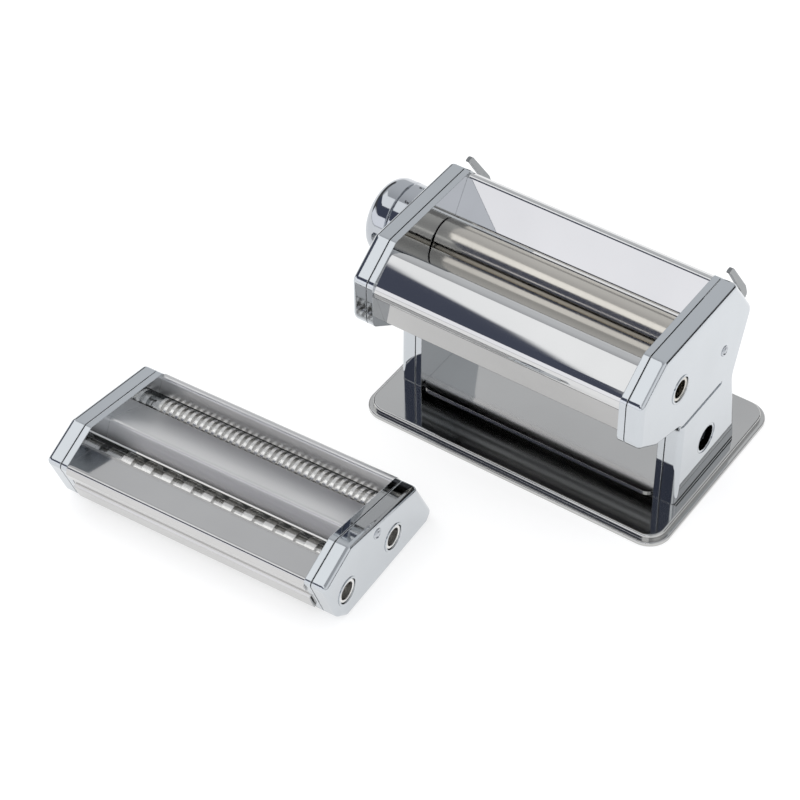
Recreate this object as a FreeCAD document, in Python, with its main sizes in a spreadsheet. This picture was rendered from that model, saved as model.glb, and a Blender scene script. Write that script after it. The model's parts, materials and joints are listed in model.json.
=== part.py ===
import FreeCAD, Part
import math
import os
from FreeCAD import Vector

# Pasta roller machine with its detached cutter head.
# Millimetres.  X runs along the rollers (+X is the crank side), +Y is the back, +Z is up.
# The origin is the centre of the base, on the surface the machine stands on.

doc = FreeCAD.newDocument("pasta_roller_machine")

# ---------------------------------------------------------------- driving dimensions
DIMENSIONS = {
    # base
    "base_length": 192.0, "base_depth": 126.4, "base_corner": 13.0, "base_top": 6.0,
    "base_lift": 0.6, "rim_step": 2.6, "rim_height": 2.9, "sheet": 1.0, "feet_width": 12.0,
    # end caps, measured along X from the middle of the rollers
    "clear_width": 150.0, "inner_face": 75.0, "inner_skin": 1.2, "seam": 78.7,
    "frame_start": 79.3, "frame_thick": 2.0, "cover_end": 88.5, "cover_wall": 1.8,
    "frame_inset": 2.2, "edge_round": 3.0,
    # smooth rollers
    "crank_y": -38.4, "crank_z": 97.2, "gap_y": -11.46, "gap_z": 99.9,
    "roller_radius": 12.25, "roller_half": 74.6, "roller_travel": 2.0,
    "drive_journal": 7.0, "plain_journal": 5.0, "rear_journal": 4.0,
    "running_gap": 0.05, "socket_radius": 5.2, "socket_depth": 8.0, "hex_flats": 8.0,
    "hex_depth": 6.0, "drive_end": 88.3,
    # gears of the smooth rollers
    "gear_teeth": 16, "gear_module": 1.56, "gear_start": 82.0, "gear_width": 4.2,
    # roller carriage
    "plate_start": 76.5, "plate_thick": 2.6, "boss_radius": 6.0, "pin_radius": 1.5,
    "pin_offset": 13.0, "bar_y": 10.0, "bar_z": 82.0, "bar_radius": 3.0,
    # thickness regulator
    "cam_start": 83.6, "cam_thick": 2.7, "cam_radius": 19.0, "knob_turn": 270.0,
    "knob_shaft": 4.0, "knob_start": 89.6, "knob_end": 114.8, "knob_radius": 22.5,
    "dial_depth": 9.5, "dial_marks": 10,
    # clamp sockets in the legs
    "clamp_y": -2.9, "clamp_z": 32.6, "clamp_radius": 7.5, "clamp_wall": 1.5,
    # rods and screws
    "rod_radius": 4.0, "screw_radius": 2.0, "screw_head": 3.8,
    # cutter head, lying beside the machine
    "cutter_x": -103.7, "cutter_y": -155.9, "cutter_angle": 2.38,
    "fine_y": 6.3, "wide_y": -37.8, "roll_z": 19.6, "roll_spacing": 13.0,
    "disc_radius": 7.4, "core_radius": 5.5, "fine_pitch": 4.0, "wide_pitch": 13.0,
    "disc_clear": 0.1, "fine_discs": 36, "wide_discs": 11, "roll_half": 72.5,
    "roll_journal": 3.5, "roll_gear_teeth": 13, "cutter_rod": 3.0,
}

sheet = doc.addObject("Spreadsheet::Sheet", "dims")
for row, (alias, value) in enumerate(DIMENSIONS.items(), start=1):
    sheet.set("A%d" % row, alias)
    sheet.set("B%d" % row, str(value))
    sheet.setAlias("B%d" % row, alias)
doc.recompute()


def dim(alias):
    return float(sheet.get(alias))


def cell(alias):
    return "<<dims>>." + alias


sheet.Label = "dims"
nodes = []

# ---------------------------------------------------------------- plane geometry helpers


def corner_arc(before, corner, after, radius):
    """Tangent points and middle of the arc that rounds one corner of an outline."""
    to_before = (before - corner).normalize()
    to_after = (after - corner).normalize()
    half = to_before.getAngle(to_after) / 2
    reach = radius / math.tan(half)
    middle = (to_before + to_after).normalize() * (radius / math.sin(half) - radius)
    return corner + to_before * reach, corner + middle, corner + to_after * reach


def outline(points):
    """Closed outline through (u, v, corner radius) points, as lines and arcs."""
    corners = [Vector(p[0], p[1], 0) for p in points]
    radii = [p[2] if len(p) > 2 else 0 for p in points]
    count = len(points)
    stops = []
    for i in range(count):
        if radii[i] > 0.01:
            stops.append(corner_arc(corners[i - 1], corners[i], corners[(i + 1) % count], radii[i]))
        else:
            stops.append((corners[i],))
    geometry = []
    for i in range(count):
        if len(stops[i]) == 3:
            geometry.append(Part.Arc(*stops[i]))
        start, end = stops[i][-1], stops[(i + 1) % count][0]
        if start.distanceToPoint(end) > 1e-4:
            geometry.append(Part.LineSegment(start, end))
    return geometry


def signed_area(points):
    return sum(points[i - 1][0] * points[i][1] - points[i][0] * points[i - 1][1]
               for i in range(len(points))) / 2


def moved_corner(before, corner, after, distance):
    """Corner of the line pair shifted to the left by a distance, and whether it turns left."""
    first = (corner - before).normalize()
    second = (after - corner).normalize()
    left = (Vector(-first.y, first.x, 0) + Vector(-second.y, second.x, 0)).normalize()
    turn = first.x * second.y - first.y * second.x
    return corner + left * (distance / left.dot(Vector(-first.y, first.x, 0))), turn


def inset(points, distance):
    """The outline moved inwards by a wall thickness, with its corner radii kept parallel."""
    ordered = list(points) if signed_area(points) > 0 else list(reversed(points))
    result = []
    for i, point in enumerate(ordered):
        trio = [Vector(q[0], q[1], 0) for q in (ordered[i - 1], point, ordered[(i + 1) % len(ordered)])]
        corner, turn = moved_corner(*trio, distance)
        radius = point[2] if len(point) > 2 else 0
        radius = radius - distance if turn > 0 else radius + distance
        result.append((corner.x, corner.y, max(radius, 0.3)))
    return result


def strip(path, thickness):
    """Closed outline of a bent sheet whose left side is moved by its thickness."""
    far = []
    for i, point in enumerate(path):
        here = Vector(point[0], point[1], 0)
        if 0 < i < len(path) - 1:
            before = Vector(path[i - 1][0], path[i - 1][1], 0)
            after = Vector(path[i + 1][0], path[i + 1][1], 0)
            corner, turn = moved_corner(before, here, after, thickness)
            radius = point[2] - thickness if turn > 0 else point[2] + thickness
            far.append((corner.x, corner.y, max(radius, 0.2)))
        else:
            neighbour = path[1] if i == 0 else path[-2]
            along = (Vector(neighbour[0], neighbour[1], 0) - here).normalize()
            along = along if i == 0 else along * -1
            corner = here + Vector(-along.y, along.x, 0) * thickness
            far.append((corner.x, corner.y, 0))
    return list(path) + list(reversed(far))


def slot(centre_a, centre_b, radius):
    """Round-ended slot between two centres."""
    a, b = Vector(*centre_a, 0), Vector(*centre_b, 0)
    along = (b - a).normalize()
    side = Vector(-along.y, along.x, 0) * radius
    cap = along * radius
    return [Part.LineSegment(a + side, b + side), Part.Arc(b + side, b + cap, b - side),
            Part.LineSegment(b - side, a - side), Part.Arc(a - side, a - cap, a + side)]


def circle(u, v, radius):
    return Part.Circle(Vector(u, v, 0), Vector(0, 0, 1), radius)


def rectangle(u0, v0, u1, v1, radius=0):
    return outline([(u0, v0, radius), (u1, v0, radius), (u1, v1, radius), (u0, v1, radius)])


# ---------------------------------------------------------------- feature helpers


def new_body(label, place=None, in_cutter=False):
    """PartDesign body; place is a (y, z) pair of cell aliases or expressions in its own group."""
    body = doc.addObject("PartDesign::Body", label)
    body.Label = label
    y, z = place if place else ("0", "0")
    if in_cutter:
        turn = cell("cutter_angle")
        body.Placement = FreeCAD.Placement(Vector(), FreeCAD.Rotation(Vector(0, 0, 1), 1))
        body.setExpression("Placement.Rotation.Angle", turn)
        body.setExpression("Placement.Base.x", "%s - (%s) * sin(%s * 1 deg)" % (cell("cutter_x"), y, turn))
        body.setExpression("Placement.Base.y", "%s + (%s) * cos(%s * 1 deg)" % (cell("cutter_y"), y, turn))
        body.setExpression("Placement.Base.z", z)
    elif place:
        body.setExpression("Placement.Base.y", y)
        body.setExpression("Placement.Base.z", z)
    nodes.append(body)
    return body


def add_sketch(body, role, geometry, offset=None):
    plane = [item for item in body.Origin.OriginFeatures if item.Role == role][0]
    sketch = body.newObject("Sketcher::SketchObject", body.Name + "_sketch")
    sketch.AttachmentSupport = [(plane, "")]
    sketch.MapMode = "FlatFace"
    if offset:
        sketch.setExpression("AttachmentOffset.Base.z", offset)
    sketch.addGeometry(geometry, False)
    return sketch


def pad(body, role, geometry, length, offset=None, backwards=False, both=False):
    sketch = add_sketch(body, role, geometry, offset)
    feature = body.newObject("PartDesign::Pad", body.Name + "_pad")
    feature.Profile = sketch
    feature.setExpression("Length", length)
    feature.Reversed = backwards
    feature.Midplane = both
    doc.recompute()
    return feature


def pocket(body, role, geometry, length, offset=None, forwards=False, both=False):
    """Cut along minus the sketch normal, or along it when forwards is true."""
    before = body.Shape.Volume
    sketch = add_sketch(body, role, geometry, offset)
    feature = body.newObject("PartDesign::Pocket", body.Name + "_pocket")
    feature.Profile = sketch
    feature.setExpression("Length", length)
    feature.Reversed = forwards
    feature.Midplane = both
    doc.recompute()
    if body.Shape.Volume > before - 1e-3:
        raise RuntimeError(body.Label + ": a pocket cut nothing")
    return feature


def polar(body, feature, count):
    """Repeat a feature round the body's X axis."""
    pattern = body.newObject("PartDesign::PolarPattern", body.Name + "_polar")
    pattern.Originals = [feature]
    pattern.Axis = ([item for item in body.Origin.OriginFeatures if item.Role == "X_Axis"][0], [""])
    pattern.Angle = 360
    pattern.setExpression("Occurrences", count)
    body.Tip = pattern
    doc.recompute()
    return pattern


def linear(body, feature, count, span):
    """Repeat a feature along the body's X axis over a span."""
    pattern = body.newObject("PartDesign::LinearPattern", body.Name + "_linear")
    pattern.Originals = [feature]
    pattern.Direction = ([item for item in body.Origin.OriginFeatures if item.Role == "X_Axis"][0], [""])
    pattern.setExpression("Length", span)
    pattern.setExpression("Occurrences", count)
    body.Tip = pattern
    doc.recompute()
    return pattern


def round_edges(body, radius, chosen):
    """Fillet the edges for which chosen(edge) is true."""
    tip = body.Tip
    names = ["Edge%d" % (i + 1) for i, edge in enumerate(tip.Shape.Edges) if chosen(edge)]
    feature = body.newObject("PartDesign::Fillet", body.Name + "_fillet")
    feature.Base = (tip, names)
    feature.setExpression("Radius", radius)
    doc.recompute()
    return feature


def at_x(x):
    """Edge test: every end of the edge lies in the plane at x."""
    return lambda edge: all(abs(vertex.X - x) < 0.01 for vertex in edge.Vertexes)


def turned(label, profile, place=None, in_cutter=False):
    """Solid of revolution about X: profile is a closed list of (x, radius, corner radius)."""
    body = new_body(label, place, in_cutter)
    sketch = add_sketch(body, "XY_Plane", outline(profile))
    feature = body.newObject("PartDesign::Revolution", body.Name + "_turn")
    feature.Profile = sketch
    feature.ReferenceAxis = (sketch, ["H_Axis"])
    feature.Angle = 360
    doc.recompute()
    return body


def mirrored_offset(side, alias_expression):
    return alias_expression if side > 0 else "-(%s)" % alias_expression


# ---------------------------------------------------------------- shared outlines

HEAD = [(15.5, 129, 3), (-56, 129, 4), (-78, 113.5, 5), (-78, 86, 7), (-60, 73.5, 12),
        (-32, 65.5, 9), (-33, 6, 0), (32, 6, 0), (29.5, 21, 20), (22.5, 60, 15), (36.5, 98.5, 8)]
CUTTER = [(30, 36.3, 3), (-33.2, 48, 3), (-57.7, 37.3, 3), (-45.8, 6, 6), (-38.3, 0, 3),
          (40, 0, 3), (45.1, 5.4, 4)]
SIDES = {"left": -1, "right": 1}
LINE_OF_CENTRES = Vector(dim("gap_y") - dim("crank_y"), dim("gap_z") - dim("crank_z"), 0)
ALONG = Vector(LINE_OF_CENTRES).normalize()
RODS = [(-62, 97), (22, 95), (2, 67)]
CUTTER_RODS = [(-47, 27), (-9, 7), (37.5, 8)]


def open_below(points):
    """The same outline, with the foot of the leg run out through the underside."""
    return [(u, v - 3 if v < dim("base_top") + 3 else v, r if v > dim("base_top") + 3 else 0)
            for u, v, r in points]


def travel_slot(start, radius, slack=0.1):
    """Slot along the roller's travel, which ends a distance beyond the regulator's axis."""
    last = Vector(dim("gap_y"), dim("gap_z"), 0) + ALONG * (start + slack)
    first = last - ALONG * (dim("roller_travel") + 2 * slack)
    return slot((first.x, first.y), (last.x, last.y), radius)


# ---------------------------------------------------------------- base


def rounded_plate(margin):
    half_x, half_y = dim("base_length") / 2 - margin, dim("base_depth") / 2 - margin
    return rectangle(-half_x, -half_y, half_x, half_y, dim("base_corner") - margin)


LEG_SCREWS = [(side * 84, y) for side in (-1, 1) for y in (-20, 18)]


def make_base():
    body = new_body("base_plate")
    lower = "%s - %s" % (cell("rim_height"), cell("base_lift"))
    pad(body, "XY_Plane", rounded_plate(0), lower, cell("base_lift"))
    upper = "%s - %s" % (cell("base_top"), cell("rim_height"))
    pad(body, "XY_Plane", rounded_plate(dim("rim_step")), upper, cell("rim_height"))
    top, step = dim("base_top"), dim("rim_height")
    round_edges(body, "1.3", lambda edge: all(abs(v.Z - top) < 0.01 for v in edge.Vertexes))
    round_edges(body, "0.9", lambda edge: all(
        abs(v.Z - step) < 0.01 and abs(v.X) + abs(v.Y) > 30 for v in edge.Vertexes)
        and edge.BoundBox.XLength + edge.BoundBox.YLength > 9
        and (edge.BoundBox.XMax > dim("base_length") / 2 - 1
             or edge.BoundBox.XMin < -dim("base_length") / 2 + 1
             or edge.BoundBox.YMax > dim("base_depth") / 2 - 1
             or edge.BoundBox.YMin < -dim("base_depth") / 2 + 1))
    hollow = "%s - %s" % (cell("base_top"), cell("sheet"))
    pocket(body, "XY_Plane", rounded_plate(4.6), hollow, "0", forwards=True)
    holes = [circle(x, y, dim("screw_radius")) for x, y in LEG_SCREWS]
    pocket(body, "XY_Plane", holes, "20", "0", forwards=True)


def make_feet():
    body = new_body("base_feet")
    half, width = 80.0, dim("feet_width") / 2
    height = "%s - %s" % (cell("base_top"), cell("sheet"))
    strips = []
    for y in (-46, 0, 46):
        strips += rectangle(-half, y - width, half, y + width, 3)
    pad(body, "XY_Plane", strips, height)


def make_tie_plate():
    body = new_body("tie_plate")
    half = dim("inner_face")
    shape = outline([(-half, -34, 7), (half, -34, 7), (half, 30, 7), (-half, 30, 7)])
    pad(body, "XY_Plane", shape, "1.2", cell("base_top"))


# ---------------------------------------------------------------- end caps of both units


def shell(label, side, points, start, end, wall, open_end, holes, in_cutter=False):
    """Cap shell between two X planes with its skin at one of them, open at open_end."""
    body = new_body(label, in_cutter=in_cutter)
    depth = "%s - %s" % (end, start)
    pad(body, "YZ_Plane", outline(points), depth, mirrored_offset(side, start), backwards=side < 0)
    hollow = inset(points, dim(wall))
    if not in_cutter:
        hollow = open_below(hollow)
    skin = "%s - %s - %s" % (end, start, cell(wall))
    mouth = start if open_end == "start" else end
    outwards = (side > 0) == (open_end == "start")
    if open_end == "start":
        depth_outer = dim("cover_end") * side
        round_edges(body, cell("edge_round"), at_x(depth_outer))
    pocket(body, "YZ_Plane", outline(hollow), skin, mirrored_offset(side, mouth), forwards=outwards)
    if holes:
        pocket(body, "YZ_Plane", holes, "20", mirrored_offset(side, mouth), forwards=outwards)
    return body


def frame_plate(label, side, points, holes, in_cutter=False):
    body = new_body(label, in_cutter=in_cutter)
    pad(body, "YZ_Plane", outline(points), cell("frame_thick"),
        mirrored_offset(side, cell("frame_start")), backwards=side < 0)
    pocket(body, "YZ_Plane", holes, "20", mirrored_offset(side, cell("inner_face")), forwards=side > 0)
    return body


def hook_outline():
    """Guide hook that runs up behind the cap's back slope, from its root to its tip."""
    foot, top = Vector(36.5, 98.5, 0), Vector(15.5, 129, 0)
    up = (top - foot).normalize()
    out = Vector(up.y, -up.x, 0)

    def at(along, away):
        point = foot + up * along + out * away
        return (point.x, point.y)

    return [at(-4, -6) + (1,), at(-4, 5.5) + (3,), at(4, 7.5) + (4,), at(35, 7.5) + (3,),
            at(36.5, 3.2) + (0.8,), at(33, 4.2) + (3,), at(7, 3.2) + (1.5,), at(5, -6) + (1,)]


def make_head_caps():
    crank = (dim("crank_y"), dim("crank_z"))
    knob = (dim("gap_y"), dim("gap_z"))
    clamp = (dim("clamp_y"), dim("clamp_z"))
    for name, side in SIDES.items():
        journal = dim("drive_journal") if side > 0 else dim("plain_journal")
        bar_slot = [Vector(dim("bar_y"), dim("bar_z"), 0) + ALONG * s
                    for s in (-dim("roller_travel") - 0.3, 0.3)]
        inner_holes = [circle(*crank, journal + 0.6)]
        inner_holes += travel_slot(0, dim("rear_journal") + 0.5, 0.3)
        inner_holes += slot(bar_slot[0][:2], bar_slot[1][:2], dim("bar_radius") + 0.3)
        inner_holes += [circle(y, z, dim("rod_radius")) for y, z in RODS]
        inner = shell("inner_cover_" + name, side, HEAD, cell("inner_face"), cell("seam"),
                      "inner_skin", "end", inner_holes)

        outer_holes = [circle(*clamp, dim("clamp_radius") + dim("clamp_wall"))]
        outer_holes += [circle(*crank, dim("drive_journal") + 1.4)] if side > 0 else [circle(*knob, 8)]
        outer = shell("outer_cover_" + name, side, HEAD, cell("frame_start"), cell("cover_end"),
                      "cover_wall", "start", outer_holes)
        notch = [(u, v, 0) for u, v, r in hook_outline()]
        notch = inset(notch, -0.15)
        pocket(outer, "YZ_Plane", outline([(u, v, 0) for u, v, r in notch]), "%s + 0.1" % cell("frame_thick"),
               mirrored_offset(side, cell("frame_start")), forwards=side > 0)
        groove = outline([(-40, 63.4, 0), (9, 63.4, 1.05), (9, 65.6, 1.05), (-40, 65.6, 0)])
        pocket(outer, "YZ_Plane", groove, "0.8", mirrored_offset(side, cell("cover_end")), forwards=side < 0)

        frame_holes = [circle(*crank, journal + 1.8)]
        frame_holes += travel_slot(0, dim("boss_radius") + 0.06)
        frame_holes += travel_slot(dim("pin_offset"), dim("pin_radius") + 0.06)
        frame_holes += [circle(y, z, dim("screw_radius")) for y, z in RODS]
        frame_holes += [circle(*clamp, dim("clamp_radius") + dim("clamp_wall"))]
        plate = inset(HEAD, dim("frame_inset"))
        plate = [(u, dim("base_top") if v < dim("base_top") + 3 else v, r if v > 10 else 0)
                 for u, v, r in plate]
        frame = frame_plate("side_frame_" + name, side, plate, frame_holes)
        pad(frame, "YZ_Plane", outline(hook_outline()), cell("frame_thick"),
            mirrored_offset(side, cell("frame_start")), backwards=side < 0)
        flange = rectangle(side * dim("frame_start"), -29, side * (dim("cover_end") - 2), 26)
        if side < 0:
            flange = rectangle(-(dim("cover_end") - 2), -29, -dim("frame_start"), 26)
        pad(frame, "XY_Plane", flange, "2", cell("base_top"))
        taps = [circle(x, y, dim("screw_radius")) for x, y in LEG_SCREWS if x * side > 0]
        pocket(frame, "XY_Plane", taps, "10", "0", forwards=True)


def make_clamp_sockets():
    """Lined hole through each leg for the foot of a table clamp."""
    for name, side in SIDES.items():
        low, high = dim("frame_start"), dim("cover_end") - 0.4
        profile = [(low, dim("clamp_radius")), (high, dim("clamp_radius")),
                   (high, dim("clamp_radius") + dim("clamp_wall")),
                   (low, dim("clamp_radius") + dim("clamp_wall"))]
        turned("clamp_socket_" + name, [(side * x, r, 0) for x, r in profile],
               (cell("clamp_y"), cell("clamp_z")))


# ---------------------------------------------------------------- sheet parts of the head


def bent_sheet(label, path, thickness=None, in_cutter=False):
    body = new_body(label, in_cutter=in_cutter)
    pad(body, "YZ_Plane", outline(strip(path, thickness or dim("sheet"))), cell("clear_width"), both=True)
    return body


def make_head_sheets():
    bent_sheet("hopper_back", [(17.4, 124.9), (13.2, 127.4, 1.5), (0.3, 107.2)], -dim("sheet"))
    bent_sheet("front_cover", [(-28.6, 108), (-58.5, 126, 7), (-68, 119.2, 290), (-77.2, 112, 8),
                               (-77.2, 106.2, 2), (-73.2, 104.2)])
    bent_sheet("front_sheet", [(-74.4, 103.2), (-66.9, 80.5, 1.2), (-63.6, 81.6)])
    bent_sheet("rear_sheet", [(17.9, 123.4), (35.5, 98.5, 7), (21.6, 60.4, 2), (16.6, 58.6)], -dim("sheet"))


def make_rods():
    """Spacer rods between the side frames, with a screw into each end."""
    body = new_body("tie_rods")
    span = "2 * " + cell("frame_start")
    pad(body, "YZ_Plane", [circle(y, z, dim("rod_radius")) for y, z in RODS], span, both=True)
    bores = [circle(y, z, dim("screw_radius")) for y, z in RODS]
    for side in SIDES.values():
        pocket(body, "YZ_Plane", bores, "9", mirrored_offset(side, cell("frame_start")), forwards=side < 0)
    screws("rod_screws", RODS)


def screws(label, places, in_cutter=False):
    """Screws in both ends of the rods: head outside the frame plate, shank in the rod."""
    body = new_body(label, in_cutter=in_cutter)
    outside = "%s + %s" % (cell("frame_start"), cell("frame_thick"))
    for side in SIDES.values():
        pad(body, "YZ_Plane", [circle(y, z, dim("screw_radius")) for y, z in places], "10.5",
            mirrored_offset(side, outside + " + 0.5"), backwards=side > 0)
        pad(body, "YZ_Plane", [circle(y, z, dim("screw_head")) for y, z in places], "1.9",
            mirrored_offset(side, outside), backwards=side < 0)


def make_leg_screws():
    body = new_body("leg_screws")
    under = "%s - %s" % (cell("base_top"), cell("sheet"))
    pad(body, "XY_Plane", [circle(x, y, dim("screw_radius")) for x, y in LEG_SCREWS], "4.5",
        under + " - 1")
    pad(body, "XY_Plane", [circle(x, y, dim("screw_head")) for x, y in LEG_SCREWS], "2.2", under,
        backwards=True)


def make_front_scraper():
    """Blade that strips the dough from the driven roller."""
    centre = Vector(dim("crank_y"), dim("crank_z"), 0)
    tip = centre + Vector(math.cos(math.radians(-104)), math.sin(math.radians(-104)), 0) * (
        dim("roller_radius") + 0.7)
    bent_sheet("roller_scraper", [(tip.x, tip.y), (-50, 76.5, 2), (-57, 78.5)], 0.8)


# ---------------------------------------------------------------- smooth rollers


def make_bushes():
    for name, side in SIDES.items():
        journal = dim("drive_journal") if side > 0 else dim("plain_journal")
        bore = journal + dim("running_gap")
        profile = [(77.3, bore), (81.6, bore), (81.6, journal + 1.8), (79.3, journal + 1.8),
                   (79.3, journal + 3.2), (77.3, journal + 3.2)]
        turned("roller_bush_" + name, [(side * x, r, 0) for x, r in profile],
               (cell("crank_y"), cell("crank_z")))


def driven_shaft_end(profile_start, end):
    """Crank socket: outer shaft end with a round bore, for the closing points of a profile."""
    bore_bottom = end - dim("socket_depth")
    return [(profile_start, dim("drive_journal"), 0), (end, dim("drive_journal"), 0.6),
            (end, dim("socket_radius"), 0.4), (bore_bottom, dim("socket_radius"), 0),
            (bore_bottom, 0, 0)]


def hexagon(flats):
    corner = flats / math.sqrt(3)
    return outline([(corner * math.cos(math.radians(60 * i)), corner * math.sin(math.radians(60 * i)), 0)
                    for i in range(6)])


def cut_hex(body):
    bottom = "%s - %s" % (cell("drive_end"), cell("socket_depth"))
    pocket(body, "YZ_Plane", hexagon(dim("hex_flats")), cell("hex_depth"), bottom)


def make_front_roller():
    half, radius = dim("roller_half"), dim("roller_radius")
    profile = [(-83, 0, 0), (-83, dim("plain_journal"), 0.6), (-half, dim("plain_journal"), 0),
               (-half, radius, 0.5), (half, radius, 0.5)]
    profile += driven_shaft_end(half, dim("drive_end"))
    body = turned("front_roller", profile, (cell("crank_y"), cell("crank_z")))
    cut_hex(body)


def make_rear_roller():
    half, radius, journal = dim("roller_half"), dim("roller_radius"), dim("rear_journal")
    turned("rear_roller", [(-83.2, 0, 0), (-83.2, journal, 0.6), (-half, journal, 0),
                           (-half, radius, 0.5), (half, radius, 0.5), (half, journal, 0),
                           (86.3, journal, 0.6), (86.3, 0, 0)], (cell("gap_y"), cell("gap_z")))


def tooth(teeth, module, pressure, addendum, backlash, phase):
    """One involute tooth standing on a root circle, centred on the angle phase."""
    pitch = teeth * module / 2
    base = pitch * math.cos(pressure)
    tip = pitch + addendum * module
    root = pitch - (addendum + 0.25) * module - 0.3

    def involute(angle):
        return math.tan(angle) - angle

    def flank_angle(radius):
        roll = math.acos(min(1, base / max(radius, base)))
        return (math.pi / 2 - backlash / module) / teeth + involute(pressure) - involute(roll)

    radii = [root] + [max(base, root) + (tip - max(base, root)) * i / 5 for i in range(6)]

    def at(radius, side):
        angle = phase + side * flank_angle(radius)
        return Vector(radius * math.cos(angle), radius * math.sin(angle), 0)

    rising = [at(r, -1) for r in radii]
    falling = [at(r, 1) for r in reversed(radii)]
    corners = rising + falling
    return [Part.LineSegment(corners[i - 1], corners[i]) for i in range(len(corners))
            if corners[i - 1].distanceToPoint(corners[i]) > 1e-4]


def gear(label, place, start, side, teeth_cell, module, bore, phase, in_cutter=False, pressure=25,
         addendum=0.9, backlash=0.12):
    """Spur gear round X: a root disc, one tooth and its polar pattern, then the bore."""
    body = new_body(label, place, in_cutter)
    teeth = int(dim(teeth_cell))
    root = teeth * module / 2 - (addendum + 0.25) * module
    offset = mirrored_offset(side, cell(start))
    pad(body, "YZ_Plane", [circle(0, 0, root)], cell("gear_width"), offset, backwards=side < 0)
    one = pad(body, "YZ_Plane", tooth(teeth, module, math.radians(pressure), addendum, backlash, phase),
              cell("gear_width"), offset, backwards=side < 0)
    polar(body, one, cell(teeth_cell))
    pocket(body, "YZ_Plane", [circle(0, 0, bore)], "20", mirrored_offset(side, cell("frame_start")),
           forwards=side > 0)
    return body


def make_roller_gears():
    aim = math.atan2(ALONG.y, ALONG.x)
    half_pitch = math.pi / dim("gear_teeth")
    gear("front_gear", (cell("crank_y"), cell("crank_z")), "gear_start", 1, "gear_teeth",
         dim("gear_module"), dim("drive_journal"), aim, addendum=1.1)
    gear("rear_gear", (cell("gap_y"), cell("gap_z")), "gear_start", 1, "gear_teeth",
         dim("gear_module"), dim("rear_journal"), aim + math.pi + half_pitch, addendum=1.1)


# ---------------------------------------------------------------- roller carriage


def make_carriage():
    """Bearing plates that hold the rear roller, joined behind it by a bar."""
    across = Vector(-ALONG.y, ALONG.x, 0)

    def near(along, up):
        point = Vector(dim("gap_y"), dim("gap_z"), 0) + ALONG * along + across * up
        return (point.x, point.y)

    points = [near(-10.5, 9) + (5,), near(16, 9) + (4,), near(17.5, -6) + (4,), near(27, -14) + (4,),
              near(24, -22.5) + (4,), near(14, -20) + (4,), near(-10.5, -9) + (5,)]
    for name, side in SIDES.items():
        body = new_body("carriage_" + name)
        pad(body, "YZ_Plane", outline(points), cell("plate_thick"),
            mirrored_offset(side, cell("plate_start")), backwards=side < 0)
        face = "%s + %s" % (cell("plate_start"), cell("plate_thick"))
        reach = cell("cam_start") + " - 0.3" if side < 0 else cell("gear_start") + " - 0.3"
        pad(body, "YZ_Plane", [circle(dim("gap_y"), dim("gap_z"), dim("boss_radius"))],
            "%s - (%s)" % (reach, face), mirrored_offset(side, face), backwards=side < 0)
        pin = Vector(dim("gap_y"), dim("gap_z"), 0) + ALONG * dim("pin_offset")
        pin_end = "%s + %s" % (cell("cam_start"), cell("cam_thick")) if side < 0 else "81.8"
        pad(body, "YZ_Plane", [circle(pin.x, pin.y, dim("pin_radius"))],
            "%s - (%s)" % (pin_end, face), mirrored_offset(side, face), backwards=side < 0)
        holes = [circle(dim("gap_y"), dim("gap_z"), dim("rear_journal") + dim("running_gap"))]
        pocket(body, "YZ_Plane", holes, "20", mirrored_offset(side, cell("inner_face")),
               forwards=side > 0)
    bar = new_body("carriage_bar", (cell("bar_y"), cell("bar_z")))
    pad(bar, "YZ_Plane", [circle(0, 0, dim("bar_radius"))], "2 * " + cell("plate_start"), both=True)
    centre = Vector(dim("gap_y"), dim("gap_z"), 0)
    tip = centre + Vector(math.cos(math.radians(-62)), math.sin(math.radians(-62)), 0) * (
        dim("roller_radius") + 0.4)
    blade = new_body("carriage_scraper")
    end = (dim("bar_y") - dim("bar_radius") * 0.9, dim("bar_z") + 0.4)
    pad(blade, "YZ_Plane", outline(strip([(tip.x, tip.y), end], -0.8)), "2 * %s - 1.2" % cell("roller_half"),
        both=True)
    bite = [circle(dim("bar_y"), dim("bar_z"), dim("bar_radius"))]
    pocket(blade, "YZ_Plane", bite, "300", both=True)


# ---------------------------------------------------------------- thickness regulator


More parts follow.
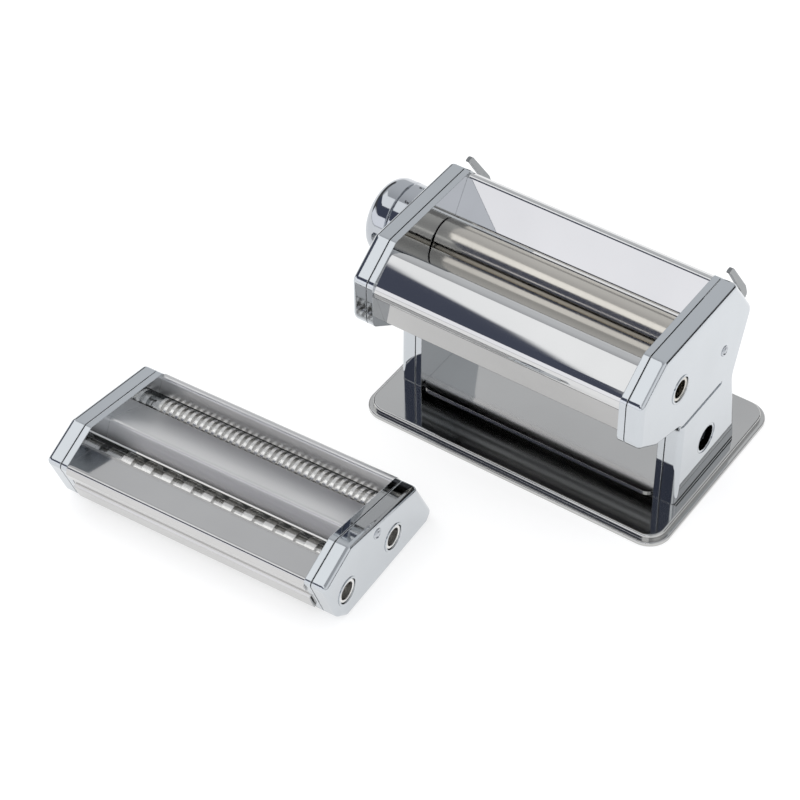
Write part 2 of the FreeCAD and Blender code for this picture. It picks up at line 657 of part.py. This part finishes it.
def make_regulator():
    place = (cell("gap_y"), cell("gap_z"))
    cam = new_body("cam_disc", place)
    offset = "-" + cell("cam_start")
    pad(cam, "YZ_Plane", [circle(0, 0, dim("cam_radius"))], cell("cam_thick"), offset, backwards=True)
    pocket(cam, "YZ_Plane", spiral_slot(), "20", "-" + cell("frame_start"))
    pocket(cam, "YZ_Plane", [circle(0, 0, dim("knob_shaft"))], "20", "-" + cell("frame_start"))
    shaft_end = dim("knob_end") - 8
    turned("knob_shaft", [(-83.6, 0, 0), (-83.6, dim("knob_shaft"), 0.4),
                          (-shaft_end, dim("knob_shaft"), 0.4), (-shaft_end, 0, 0)], place)
    bore = dim("knob_shaft") + dim("running_gap")
    turned("knob_bush", [(-86.5, bore, 0), (-86.5, 8, 0), (-88.5, 8, 0), (-88.5, 12, 0), (-89.3, 12, 0.4),
                         (-89.3, bore, 0)], place)
    split = dim("knob_start") + dim("dial_depth")
    radius, end = dim("knob_radius"), dim("knob_end")
    start = dim("knob_start")
    dial = turned("knob_dial", [(-start, dim("knob_shaft"), 0), (-start, radius - 0.8, 0.5),
                                (-start - 1.4, radius, 0.5), (-split, radius, 0.4),
                                (-split, dim("knob_shaft"), 0)], place)
    mark = rectangle(radius - 0.5, -0.35, radius + 1, 0.35)
    one = pocket(dial, "YZ_Plane", mark, "3.2", "-(%s + 2.2)" % cell("knob_start"))
    polar(dial, one, cell("dial_marks"))
    turned("knob_grip", [(-split - 0.3, dim("knob_shaft"), 0), (-split - 0.3, radius - 1.2, 0.3),
                                (-split - 1.2, radius, 0.4), (-end, radius, 9),
                                (-end, 7.5, 0.5), (-end + 1.6, 7.0, 0.5),
                                (-end + 1.6, dim("knob_shaft"), 0)], place)
    turned("knob_cap", [(-shaft_end, 0, 0), (-shaft_end, dim("knob_shaft"), 0),
                        (-end + 1.6, dim("knob_shaft"), 0), (-end + 1.6, 6.6, 0.4),
                        (-end + 0.5, 6.6, 0.5), (-end + 0.5, 0, 0)], place)


def spiral_slot():
    """Slot whose radius shrinks evenly with angle, so the pin moves evenly with the knob's turn."""
    aim = math.atan2(ALONG.y, ALONG.x)
    turn = math.radians(dim("knob_turn"))
    half = dim("pin_radius") + 0.06
    slack = math.radians(1)

    def at(angle, side):
        radius = dim("pin_offset") - dim("roller_travel") * angle / turn + side * half
        return Vector(radius * math.cos(aim - angle), radius * math.sin(aim - angle), 0)

    def end_cap(angle, direction):
        middle = at(angle, 0)
        tangent = Vector(math.sin(aim - angle), -math.cos(aim - angle), 0) * direction
        return Part.Arc(at(angle, -1), middle + tangent * half, at(angle, 1))

    angles = [-slack + (turn + 2 * slack) * i / 36 for i in range(37)]
    inner, outer = Part.BSplineCurve(), Part.BSplineCurve()
    inner.interpolate([at(angle, -1) for angle in angles])
    outer.interpolate([at(angle, 1) for angle in angles])
    return [inner, end_cap(angles[-1], 1), outer, end_cap(angles[0], -1)]


def make_bezels():
    """Bright ring round each crank hole."""
    inner = dim("drive_journal") + 0.3
    outer = inner + 1.1
    start = "%s - 2.0" % cell("cover_end")
    crank = new_body("crank_bezel", (cell("crank_y"), cell("crank_z")))
    pad(crank, "YZ_Plane", [circle(0, 0, inner), circle(0, 0, outer)], "2.4", start)
    cutter = new_body("cutter_bezels", in_cutter=True)
    rings = [circle(dim(name + "_y"), dim("roll_z"), radius)
             for name in ("fine", "wide") for radius in (inner, outer)]
    pad(cutter, "YZ_Plane", rings, "2.4", start)


# ---------------------------------------------------------------- cutter head


def make_cutter_caps():
    idle = dim("roll_spacing")
    for name, side in SIDES.items():
        journal = dim("drive_journal") if side > 0 else dim("roll_journal")
        driven = [(dim("fine_y"), dim("roll_z")), (dim("wide_y"), dim("roll_z"))]
        idlers = [(y + idle, z) for y, z in driven]
        rods = [circle(y, z, dim("cutter_rod")) for y, z in CUTTER_RODS]
        wide_holes = [circle(*c, journal + 0.5) for c in driven]
        wide_holes += [circle(*c, dim("roll_journal") + 0.5) for c in idlers]
        shell("cutter_inner_" + name, side, CUTTER, cell("inner_face"), cell("seam"), "inner_skin", "end",
              wide_holes + rods, in_cutter=True)
        outer_holes = [circle(*c, dim("drive_journal") + 1.4) for c in driven] if side > 0 else None
        shell("cutter_outer_" + name, side, CUTTER, cell("frame_start"), cell("cover_end"), "cover_wall",
              "start", outer_holes, in_cutter=True)
        gap = dim("running_gap")
        close_holes = [circle(*c, journal + gap) for c in driven]
        close_holes += [circle(*c, dim("roll_journal") + gap) for c in idlers]
        close_holes += [circle(y, z, dim("screw_radius")) for y, z in CUTTER_RODS]
        frame_plate("cutter_frame_" + name, side, inset(CUTTER, dim("frame_inset")), close_holes,
                    in_cutter=True)


def make_cutter_sheets():
    bent_sheet("cutter_back_plate", [(44, 7), (30.4, 36.0, 1.5), (26.1, 24.8)], -dim("sheet"), in_cutter=True)
    bent_sheet("cutter_middle_plate", [(11.6, 27.2), (-17.4, 41.9, 1.6), (-22.3, 31)], in_cutter=True)
    bent_sheet("cutter_front_plate", [(-33.3, 32.7), (-56.2, 38.6, 2.4), (-57.6, 33.8, 1.5),
                                      (-55.4, 28.6, 1.2), (-53.6, 28, 1.2), (-51.6, 21.6, 1.2),
                                      (-52.8, 20.2, 1.2), (-48.9, 9.6, 1.0), (-47.4, 9.3)], in_cutter=True)


def make_cutter_rods():
    body = new_body("cutter_rods", in_cutter=True)
    span = "2 * " + cell("frame_start")
    pad(body, "YZ_Plane", [circle(y, z, dim("cutter_rod")) for y, z in CUTTER_RODS], span, both=True)
    bores = [circle(y, z, dim("screw_radius")) for y, z in CUTTER_RODS]
    for side in SIDES.values():
        pocket(body, "YZ_Plane", bores, "9", mirrored_offset(side, cell("frame_start")), forwards=side < 0)
    screws("cutter_screws", CUTTER_RODS, in_cutter=True)


def disc_profile(count, pitch):
    """Rising and falling steps of a row of cutting discs centred on x = 0."""
    half_width = pitch / 4 - dim("disc_clear") / 2
    steps = []
    for i in range(count):
        middle = (i - (count - 1) / 2) * pitch
        steps += [(middle - half_width, dim("core_radius"), 0), (middle - half_width, dim("disc_radius"), 0),
                  (middle + half_width, dim("disc_radius"), 0), (middle + half_width, dim("core_radius"), 0)]
    return steps


def make_cutting_rolls():
    half, journal = dim("roll_half"), dim("roll_journal")
    for name in ("fine", "wide"):
        pitch, count = dim(name + "_pitch"), int(dim(name + "_discs"))
        left_end = [(-86, 0, 0), (-86, journal, 0.5), (-half, journal, 0), (-half, dim("core_radius"), 0)]
        place = (cell(name + "_y"), cell("roll_z"))
        driven = turned(name + "_roll_driven", left_end + disc_profile(count, pitch)
                        + [(half, dim("core_radius"), 0)] + driven_shaft_end(half, dim("drive_end")),
                        place, in_cutter=True)
        cut_hex(driven)
        place = ("%s + %s" % (cell(name + "_y"), cell("roll_spacing")), cell("roll_z"))
        turned(name + "_roll_idle", left_end + disc_profile(count - 1, pitch)
               + [(half, dim("core_radius"), 0), (half, journal, 0), (81.6, journal, 0.5), (81.6, 0, 0)],
               place, in_cutter=True)
        make_roll_gears(name)
        make_combs(name, pitch, count)


def make_roll_gears(name):
    teeth = dim("roll_gear_teeth")
    module = dim("roll_spacing") / teeth
    driven = (cell(name + "_y"), cell("roll_z"))
    idle = ("%s + %s" % (cell(name + "_y"), cell("roll_spacing")), cell("roll_z"))
    half_pitch = math.pi / teeth
    gear(name + "_gear_driven", driven, "gear_start", -1, "roll_gear_teeth", module, dim("roll_journal"),
         0, in_cutter=True, addendum=0.85, backlash=0.1)
    gear(name + "_gear_idle", idle, "gear_start", -1, "roll_gear_teeth", module, dim("roll_journal"),
         math.pi + half_pitch, in_cutter=True, addendum=0.85, backlash=0.1)


def make_combs(name, pitch, count):
    """Comb behind each roll: a rail below it and one finger in every groove."""
    finger_half = pitch / 4 - 0.25
    low, rail = 8.0, 10.4
    finger_drop = 4.5
    near, far = dim("core_radius") + 0.3, dim("core_radius") + 3.3
    combs = {"driven": (dim(name + "_y"), -1, count - 1),
             "idle": (dim(name + "_y") + dim("roll_spacing"), 1, count)}
    for role, (centre, way, fingers) in combs.items():
        body = new_body("%s_comb_%s" % (name, role), in_cutter=True)
        edges = sorted((centre + way * near, centre + way * far))
        pad(body, "YZ_Plane", rectangle(edges[0], low, edges[1], rail), cell("clear_width"), both=True)
        edges = sorted((centre + way * near, centre + way * (near + 1.4)))
        first = -(fingers - 1) / 2 * pitch
        shape = rectangle(first - finger_half, edges[0], first + finger_half, edges[1])
        one = pad(body, "XY_Plane", shape, "%s - %s" % (cell("roll_z"), rail + finger_drop), str(rail))
        linear(body, one, str(fingers), "%s * %s" % (fingers - 1, cell(name + "_pitch")))


# ---------------------------------------------------------------- build, check and write

make_base()
make_feet()
make_tie_plate()
make_head_caps()
make_clamp_sockets()
make_head_sheets()
make_rods()
make_leg_screws()
make_front_scraper()
make_bushes()
make_front_roller()
make_rear_roller()
make_roller_gears()
make_carriage()
make_regulator()
make_bezels()
make_cutter_caps()
make_cutter_sheets()
make_cutter_rods()
make_cutting_rolls()
doc.recompute()

for item in doc.Objects:
    if "Invalid" in item.State or "Error" in item.State:
        raise RuntimeError("failed: " + item.Label)

os.makedirs("parts", exist_ok=True)
for node in nodes:
    if node.Shape.isNull() or not node.Shape.isValid() or not node.Shape.Solids:
        raise RuntimeError("bad shape: " + node.Label)
    node.Shape.exportStep(os.path.join("parts", node.Label + ".step"))
print(len(nodes), "nodes written")
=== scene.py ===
import json
import math

import bmesh
import bpy
from mathutils import Matrix, Vector


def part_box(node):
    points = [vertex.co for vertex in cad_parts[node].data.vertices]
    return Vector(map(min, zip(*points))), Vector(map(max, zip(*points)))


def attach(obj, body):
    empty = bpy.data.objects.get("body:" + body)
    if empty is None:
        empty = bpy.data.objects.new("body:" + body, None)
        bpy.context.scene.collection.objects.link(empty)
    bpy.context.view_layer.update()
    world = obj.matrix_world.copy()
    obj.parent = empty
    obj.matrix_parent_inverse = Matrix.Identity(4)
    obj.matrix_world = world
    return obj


# Looks of the pasta roller machine and its loose cutter head: materials, small
# pieces, studio light and camera.  Metres, in the frame of the CAD model:
# +X along the rollers towards the crank side, +Y the back, +Z up.

MM = 0.001
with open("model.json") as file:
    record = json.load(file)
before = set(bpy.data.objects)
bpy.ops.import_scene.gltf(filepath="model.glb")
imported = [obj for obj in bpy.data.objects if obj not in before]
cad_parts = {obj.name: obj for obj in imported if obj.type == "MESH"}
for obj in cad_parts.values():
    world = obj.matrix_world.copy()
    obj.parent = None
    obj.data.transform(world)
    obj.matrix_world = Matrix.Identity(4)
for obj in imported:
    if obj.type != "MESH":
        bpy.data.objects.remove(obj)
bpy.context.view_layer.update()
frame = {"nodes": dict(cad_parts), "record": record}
nodes = frame["nodes"]
scene = bpy.context.scene
scene.view_settings.view_transform = "Standard"

# The cutter head lies beside the machine, turned a little about the vertical.
CUTTER_TURN = math.radians(2.38)
CUTTER_ORIGIN = Vector((-0.1037, -0.1559, 0.0))
CUTTER_PLACE = Matrix.Translation(CUTTER_ORIGIN) @ Matrix.Rotation(CUTTER_TURN, 4, "Z")


# ---------------------------------------------------------------- camera

# Angles in degrees, lens and sensor in millimetres, the rest in metres.
CAMERA_AZIMUTH = 34.9
CAMERA_ELEVATION = 44.37
CAMERA_ROLL = -0.517
CAMERA_TARGET = Vector((-0.0471, -0.0937, 0.060))
CAMERA_DISTANCE = 1.4029
FOCAL_LENGTH = 119.8
SENSOR_WIDTH = 36.0
NEAR_CLIP = 0.05


def direction(azimuth, elevation):
    """Unit vector; azimuth 0 is the front (-Y) and grows towards +X."""
    a, e = math.radians(azimuth), math.radians(elevation)
    return Vector((math.sin(a) * math.cos(e), -math.cos(a) * math.cos(e), math.sin(e)))


def make_camera():
    """Camera at the product view: its direction, its distance and a slight roll."""
    roll = math.radians(CAMERA_ROLL)
    back = direction(CAMERA_AZIMUTH, CAMERA_ELEVATION)
    level = Vector((0, 0, 1)).cross(back).normalized()
    upright = back.cross(level)
    right = level * math.cos(roll) + upright * math.sin(roll)
    up = back.cross(right)
    data = bpy.data.cameras.new("camera")
    data.sensor_width = SENSOR_WIDTH
    data.lens = FOCAL_LENGTH
    data.clip_start = NEAR_CLIP
    camera = bpy.data.objects.new("camera", data)
    scene.collection.objects.link(camera)
    axes = Matrix((right, up, back)).transposed().to_4x4()
    camera.matrix_world = Matrix.Translation(CAMERA_TARGET + back * CAMERA_DISTANCE) @ axes
    scene.camera = camera


# ---------------------------------------------------------------- studio


FLOOR_HALF = 6.0
FLOOR_GREY = (0.42, 0.42, 0.42, 1)
FLOOR_GLOW = 0.62


def make_floor():
    """Large white table, lit from below so that shadows on it stay faint."""
    mesh = bpy.data.meshes.new("floor")
    half = FLOOR_HALF
    corners = [(-half, -half, 0), (half, -half, 0), (half, half, 0), (-half, half, 0)]
    mesh.from_pydata(corners, [], [(0, 1, 2, 3)])
    floor = bpy.data.objects.new("floor", mesh)
    scene.collection.objects.link(floor)
    material = bpy.data.materials.new("floor_white")
    material.use_nodes = True
    shader = material.node_tree.nodes["Principled BSDF"]
    shader.inputs["Base Color"].default_value = FLOOR_GREY
    shader.inputs["Roughness"].default_value = 0.8
    shader.inputs["Specular IOR Level"].default_value = 0.0
    shader.inputs["Emission Color"].default_value = (1.0, 1.0, 1.0, 1)
    shader.inputs["Emission Strength"].default_value = FLOOR_GLOW
    mesh.materials.append(material)


# Studio surroundings: (azimuth, elevation, half width, half height, edge softness,
# colour, brightness).  Sizes are tangents of half angles.  Later panels lie over
# earlier ones; the dark ones are black flags and the unlit part of the room.
PANELS = [
    # dark corner at the back right, which outlines the caps' outer edges
    (125, 12, 0.6, 0.27, 0.10, (0.95, 0.97, 1.0), 0.06),
    # dark corner at the left, beyond the knob
    (-100, 14, 0.8, 0.22, 0.10, (0.95, 0.97, 1.0), 0.10),
    # low bright wall at the front, mirrored by the back plate of the hopper
    (-20, 15, 1.6, 0.23, 0.04, (0.955, 0.96, 1.0), 1.27),
    # bluish black flag above it, which makes the dark band on the front cover
    (-38, 40, 1.3, 0.218, 0.012, (0.62, 0.70, 1.0), 0.13),
    # bright panel above the flag, which makes the white band on the front cover
    (-38, 63, 1.1, 0.20, 0.012, (0.98, 0.99, 1.0), 1.25),
    # window on the right
    (85, 30, 0.6, 0.35, 0.15, (0.97, 0.98, 1.0), 1.0),
]
ROOM_LOW = (0.66, 0.67, 0.69)
ROOM_HIGH = (0.50, 0.51, 0.53)
ROOM_BACK = (0.70, 0.715, 0.735)


class NodeBuilder:
    """Short spellings for the node set-ups that the materials and the world share."""

    def __init__(self, tree):
        self.tree = tree

    def new(self, kind, **settings):
        node = self.tree.nodes.new(kind)
        for key, value in settings.items():
            setattr(node, key, value)
        return node

    def link(self, source, target):
        self.tree.links.new(source, target)

    def math(self, operation, first, second=None):
        node = self.new("ShaderNodeMath", operation=operation)
        for socket, value in zip(node.inputs, (first, second)):
            if value is None:
                continue
            if isinstance(value, (int, float)):
                socket.default_value = value
            else:
                self.link(value, socket)
        return node.outputs[0]

    def dot(self, vector, constant):
        node = self.new("ShaderNodeVectorMath", operation="DOT_PRODUCT")
        self.link(vector, node.inputs[0])
        node.inputs[1].default_value = constant
        return node.outputs["Value"]

    def ramp(self, value, low, high, start, end, smooth=False):
        node = self.new("ShaderNodeMapRange")
        if smooth:
            node.interpolation_type = "SMOOTHSTEP"
        self.link(value, node.inputs["Value"])
        node.inputs["From Min"].default_value = low
        node.inputs["From Max"].default_value = high
        node.inputs["To Min"].default_value = start
        node.inputs["To Max"].default_value = end
        return node.outputs["Result"]

    def mix_color(self, factor, first, second):
        node = self.new("ShaderNodeMix", data_type="RGBA")
        for socket, value in ((node.inputs["Factor"], factor), (node.inputs[6], first),
                              (node.inputs[7], second)):
            if isinstance(value, tuple):
                socket.default_value = value + (1,)
            else:
                self.link(value, socket)
        return node.outputs[2]


def make_world():
    """Pale room with soft panels and dark flags, all of it worked out from the direction."""
    world = bpy.data.worlds.new("studio")
    world.use_nodes = True
    scene.world = world
    build = NodeBuilder(world.node_tree)
    ray = build.new("ShaderNodeTexCoord").outputs["Generated"]
    height = build.dot(ray, (0, 0, 1))
    backness = build.dot(ray, (0, 1, 0))
    room = build.mix_color(build.ramp(height, 0.0, 1.0, 0, 1, True), ROOM_LOW, ROOM_HIGH)
    color = build.mix_color(build.ramp(backness, -0.2, 0.7, 0, 1, True), room, ROOM_BACK)
    for azimuth, elevation, half_width, half_height, soft, tint, bright in PANELS:
        middle = direction(azimuth, elevation)
        side = Vector((0, 0, 1)).cross(middle).normalized()
        top = middle.cross(side)
        ahead = build.dot(ray, middle)
        depth = build.math("MAXIMUM", ahead, 0.001)
        mask = build.ramp(ahead, 0.0, 0.05, 0, 1)
        for axis, half in ((side, half_width), (top, half_height)):
            offset = build.math("ABSOLUTE", build.math("DIVIDE", build.dot(ray, axis), depth))
            inside = build.ramp(offset, half - soft / 2, half + soft / 2, 1, 0, True)
            mask = build.math("MULTIPLY", mask, inside)
        panel = tuple(channel * bright for channel in tint)
        color = build.mix_color(mask, color, panel)
    background = world.node_tree.nodes["Background"]
    build.link(color, background.inputs["Color"])


SUN_ENERGY = 1.9
SUN_ANGLE = math.radians(100)
SUN_TILT = (math.radians(12), math.radians(-10), 0)


def make_top_light():
    """Very soft overhead light that whitens the floor and stays out of the reflections."""
    data = bpy.data.lights.new("top_light", "SUN")
    data.energy = SUN_ENERGY
    data.angle = SUN_ANGLE
    light = bpy.data.objects.new("top_light", data)
    light.rotation_euler = SUN_TILT
    light.visible_glossy = False
    scene.collection.objects.link(light)


# ---------------------------------------------------------------- materials


BUMP_HEIGHT = 0.2 * MM
SMOOTH_EDGE = 0.3 * MM
ROUNDED_EDGE = 0.5 * MM
DARKER = 0.93


def metal(name, color, roughness, brush=(1, 1, 1), brush_scale=60.0, brush_depth=0.02,
          smear=0.04, edge=SMOOTH_EDGE):
    """Metal with fine directional marks, uneven polish, faint tint changes and eased edges."""
    material = bpy.data.materials.new(name)
    material.use_nodes = True
    build = NodeBuilder(material.node_tree)
    shader = material.node_tree.nodes["Principled BSDF"]
    shader.inputs["Metallic"].default_value = 1.0
    place = build.new("ShaderNodeTexCoord").outputs["Object"]

    stretch = build.new("ShaderNodeMapping")
    stretch.inputs["Scale"].default_value = brush
    build.link(place, stretch.inputs["Vector"])
    marks = build.new("ShaderNodeTexNoise")
    marks.inputs["Scale"].default_value = brush_scale
    marks.inputs["Detail"].default_value = 4.0
    build.link(stretch.outputs["Vector"], marks.inputs["Vector"])

    clouds = build.new("ShaderNodeTexNoise")
    clouds.inputs["Scale"].default_value = 14.0
    clouds.inputs["Detail"].default_value = 3.0
    build.link(place, clouds.inputs["Vector"])

    cloudy = build.ramp(clouds.outputs["Fac"], 0.3, 0.7, roughness, roughness + smear)
    brushed = build.ramp(marks.outputs["Fac"], 0.35, 0.65, 0.0, smear * 0.6)
    build.link(build.math("ADD", cloudy, brushed), shader.inputs["Roughness"])

    darker = tuple(channel * DARKER for channel in color)
    tint = build.mix_color(build.ramp(clouds.outputs["Fac"], 0.35, 0.7, 0, 1), color, darker)
    build.link(tint, shader.inputs["Base Color"])

    bump = build.new("ShaderNodeBump")
    bump.inputs["Strength"].default_value = brush_depth
    bump.inputs["Distance"].default_value = BUMP_HEIGHT
    build.link(marks.outputs["Fac"], bump.inputs["Height"])
    eased = build.new("ShaderNodeBevel")
    eased.samples = 4
    eased.inputs["Radius"].default_value = edge
    build.link(eased.outputs["Normal"], bump.inputs["Normal"])
    build.link(bump.outputs["Normal"], shader.inputs["Normal"])
    return material


def moulded(name, color, roughness, grain=900.0, depth=0.15):
    """Moulded plastic or rubber with a fine grain and slightly uneven colour."""
    material = bpy.data.materials.new(name)
    material.use_nodes = True
    build = NodeBuilder(material.node_tree)
    shader = material.node_tree.nodes["Principled BSDF"]
    place = build.new("ShaderNodeTexCoord").outputs["Object"]
    fine = build.new("ShaderNodeTexNoise")
    fine.inputs["Scale"].default_value = grain
    build.link(place, fine.inputs["Vector"])
    broad = build.new("ShaderNodeTexNoise")
    broad.inputs["Scale"].default_value = 25.0
    build.link(place, broad.inputs["Vector"])
    lighter = tuple(min(1.0, channel * 1.35 + 0.01) for channel in color)
    build.link(build.mix_color(build.ramp(broad.outputs["Fac"], 0.35, 0.7, 0, 1), color, lighter),
               shader.inputs["Base Color"])
    build.link(build.ramp(fine.outputs["Fac"], 0.3, 0.7, roughness, roughness + 0.15),
               shader.inputs["Roughness"])
    bump = build.new("ShaderNodeBump")
    bump.inputs["Strength"].default_value = depth
    bump.inputs["Distance"].default_value = BUMP_HEIGHT
    build.link(fine.outputs["Fac"], bump.inputs["Height"])
    build.link(bump.outputs["Normal"], shader.inputs["Normal"])
    return material


# Stretch of the brush marks: along the rollers, or round them as on turned work.
ALONG_X = (0.02, 1, 1)
ROUND_X = (1, 0.03, 0.03)

MATERIALS = {
    "chrome_cap": metal("cap_chrome", (0.57, 0.595, 0.62), 0.02, brush_depth=0.008, smear=0.02,
                        edge=ROUNDED_EDGE),
    "chrome_sheet": metal("sheet_chrome", (0.63, 0.63, 0.63), 0.02, ALONG_X, 700.0, 0.003, 0.012),
    "base_steel": metal("base_polished", (0.56, 0.558, 0.55), 0.05, ALONG_X, 500.0, 0.006, 0.03),
    "roller_steel": metal("roller_ground", (0.62, 0.59, 0.54), 0.12, ROUND_X, 700.0, 0.04, 0.06),
    "frame_steel": metal("frame_zinc", (0.27, 0.28, 0.285), 0.25, ALONG_X, 500.0, 0.05, 0.08),
    "gear_steel": metal("gear_machined", (0.45, 0.44, 0.42), 0.25, (1, 1, 1), 800.0, 0.06, 0.08),
    "bush_bronze": metal("bush_bronze", (0.62, 0.46, 0.25), 0.22, ROUND_X, 800.0, 0.05, 0.06),
    "screw_steel": metal("screw_zinc", (0.50, 0.50, 0.50), 0.2, (1, 1, 1), 800.0, 0.05, 0.06),
    "knob_chrome": metal("knob_chrome", (0.50, 0.52, 0.55), 0.03, brush_depth=0.01, smear=0.03,
                         edge=ROUNDED_EDGE),
    "scraper_plastic": moulded("scraper_plastic", (0.035, 0.035, 0.04), 0.35),
    "rubber_feet": moulded("foot_rubber", (0.02, 0.02, 0.02), 0.6, 600.0, 0.3),
}


# Nodes whose finish differs from the rest of their material slot.
SATIN_SHEET = metal("sheet_satin", (0.70, 0.695, 0.69), 0.28, ALONG_X, 700.0, 0.02, 0.04)
CUTTING_STEEL = metal("roll_cutting", (0.80, 0.79, 0.77), 0.22, ROUND_X, 700.0, 0.05, 0.06)
OWN_FINISH = {
    "cutter_front_plate": metal("sheet_cutter", (0.58, 0.575, 0.57), 0.06, ALONG_X, 700.0, 0.004, 0.03),
    "front_sheet": metal("sheet_front", (0.45, 0.445, 0.44), 0.05, ALONG_X, 700.0, 0.004, 0.03),
    "cutter_back_plate": SATIN_SHEET,
    "cutter_middle_plate": SATIN_SHEET,
    "fine_roll_driven": CUTTING_STEEL,
    "fine_roll_idle": CUTTING_STEEL,
    "wide_roll_driven": CUTTING_STEEL,
    "wide_roll_idle": CUTTING_STEEL,
}


def dress_nodes():
    """Give every CAD node its own finish, or else that of its material slot."""
    for entry in frame["record"]["subparts"]:
        mesh = nodes[entry["node"]].data
        material = OWN_FINISH.get(entry["node"], MATERIALS[entry["material_slot"]])
        if mesh.materials:
            for index in range(len(mesh.materials)):
                mesh.materials[index] = material
        else:
            mesh.materials.append(material)


# ---------------------------------------------------------------- small pieces


def add_piece(name, mesh, body, material, place=None):
    piece = bpy.data.objects.new(name, mesh)
    scene.collection.objects.link(piece)
    if place:
        piece.matrix_world = place
    mesh.materials.append(material)
    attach(piece, body)
    return piece


def turned_mesh(name, profile, steps=48):
    """Mesh turned about local X from (x, radius) points in millimetres."""
    mesh = bpy.data.meshes.new(name)
    solid = bmesh.new()
    rings = []
    for x, radius in profile:
        if radius == 0:
            rings.append([solid.verts.new((x * MM, 0, 0))])
            continue
        ring = []
        for i in range(steps):
            angle = 2 * math.pi * i / steps
            ring.append(solid.verts.new((x * MM, radius * MM * math.cos(angle),
                                         radius * MM * math.sin(angle))))
        rings.append(ring)
    for low, high in zip(rings, rings[1:]):
        for i in range(steps):
            j = (i + 1) % steps
            corners = [low[i % len(low)], low[j % len(low)], high[j % len(high)], high[i % len(high)]]
            unique = list(dict.fromkeys(corners))
            if len(unique) > 2:
                solid.faces.new(unique)
    bmesh.ops.recalc_face_normals(solid, faces=solid.faces)
    solid.to_mesh(mesh)
    solid.free()
    for face in mesh.polygons:
        face.use_smooth = True
    return mesh


# Rivet section as (height above the cap, radius), in millimetres.
RIVET = [(-1.0, 3.3), (0.1, 3.3), (0.5, 3.0), (0.5, 2.5), (-0.7, 2.3), (-0.7, 1.8), (0.4, 1.6),
         (0.75, 0.9), (0.85, 0.0)]
# Where the rivets sit: body, its place, and Y and Z on its caps in millimetres.
RIVET_SPOTS = [("machine", Matrix.Identity(4), 8.0, 88.0), ("cutter_head", CUTTER_PLACE, -8.9, 36.2)]


def make_rivets():
    """Domed rivet with a turned ring, on the outer face of each cap."""
    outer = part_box("outer_cover_right")[1].x / MM
    for body, place, y, z in RIVET_SPOTS:
        for side in (-1, 1):
            mesh = turned_mesh("rivet", [(side * x, radius) for x, radius in RIVET])
            spot = place @ Matrix.Translation((side * outer * MM, y * MM, z * MM))
            name = "%s_rivet_%s" % (body, "right" if side > 0 else "left")
            add_piece(name, mesh, body, MATERIALS["knob_chrome"], spot)


DIAL_COUNT = 10
DIGIT_SIZE = 5.6 * MM
DIGIT_SQUEEZE = 0.9
DIGIT_SHIFT = 1.0 * MM
INK_LIFT = 0.03 * MM


def make_dial_numbers():
    """Numbers 0 to 9 wrapped round the knob's dial ring."""
    low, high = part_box("knob_dial")
    middle = (low + high) / 2
    radius = (high.z - low.z) / 2
    ink = moulded("dial_ink", (0.02, 0.02, 0.025), 0.4, depth=0.05)
    for number in range(DIAL_COUNT):
        curve = bpy.data.curves.new("digit", "FONT")
        curve.body = str(number)
        curve.size = DIGIT_SIZE
        curve.align_x = "CENTER"
        curve.align_y = "CENTER"
        curve.resolution_u = 3
        holder = bpy.data.objects.new("digit", curve)
        scene.collection.objects.link(holder)
        bpy.context.view_layer.update()
        flat = bpy.data.meshes.new_from_object(holder)
        bpy.data.objects.remove(holder)
        shape = bmesh.new()
        shape.from_mesh(flat)
        bmesh.ops.subdivide_edges(shape, edges=shape.edges, cuts=1)
        start = 2 * math.pi * number / DIAL_COUNT
        for vertex in shape.verts:
            along, across = vertex.co.y, vertex.co.x
            angle = start + across / radius
            lift = radius + INK_LIFT
            vertex.co = Vector((middle.x + DIGIT_SHIFT - along * DIGIT_SQUEEZE,
                                middle.y + lift * math.cos(angle),
                                middle.z + lift * math.sin(angle)))
        mesh = bpy.data.meshes.new("dial_number_%d" % number)
        shape.to_mesh(mesh)
        shape.free()
        add_piece("dial_number_%d" % number, mesh, "regulator", ink)


make_camera()
make_floor()
make_world()
make_top_light()
dress_nodes()
make_rivets()
make_dial_numbers()

bpy.context.view_layer.update()
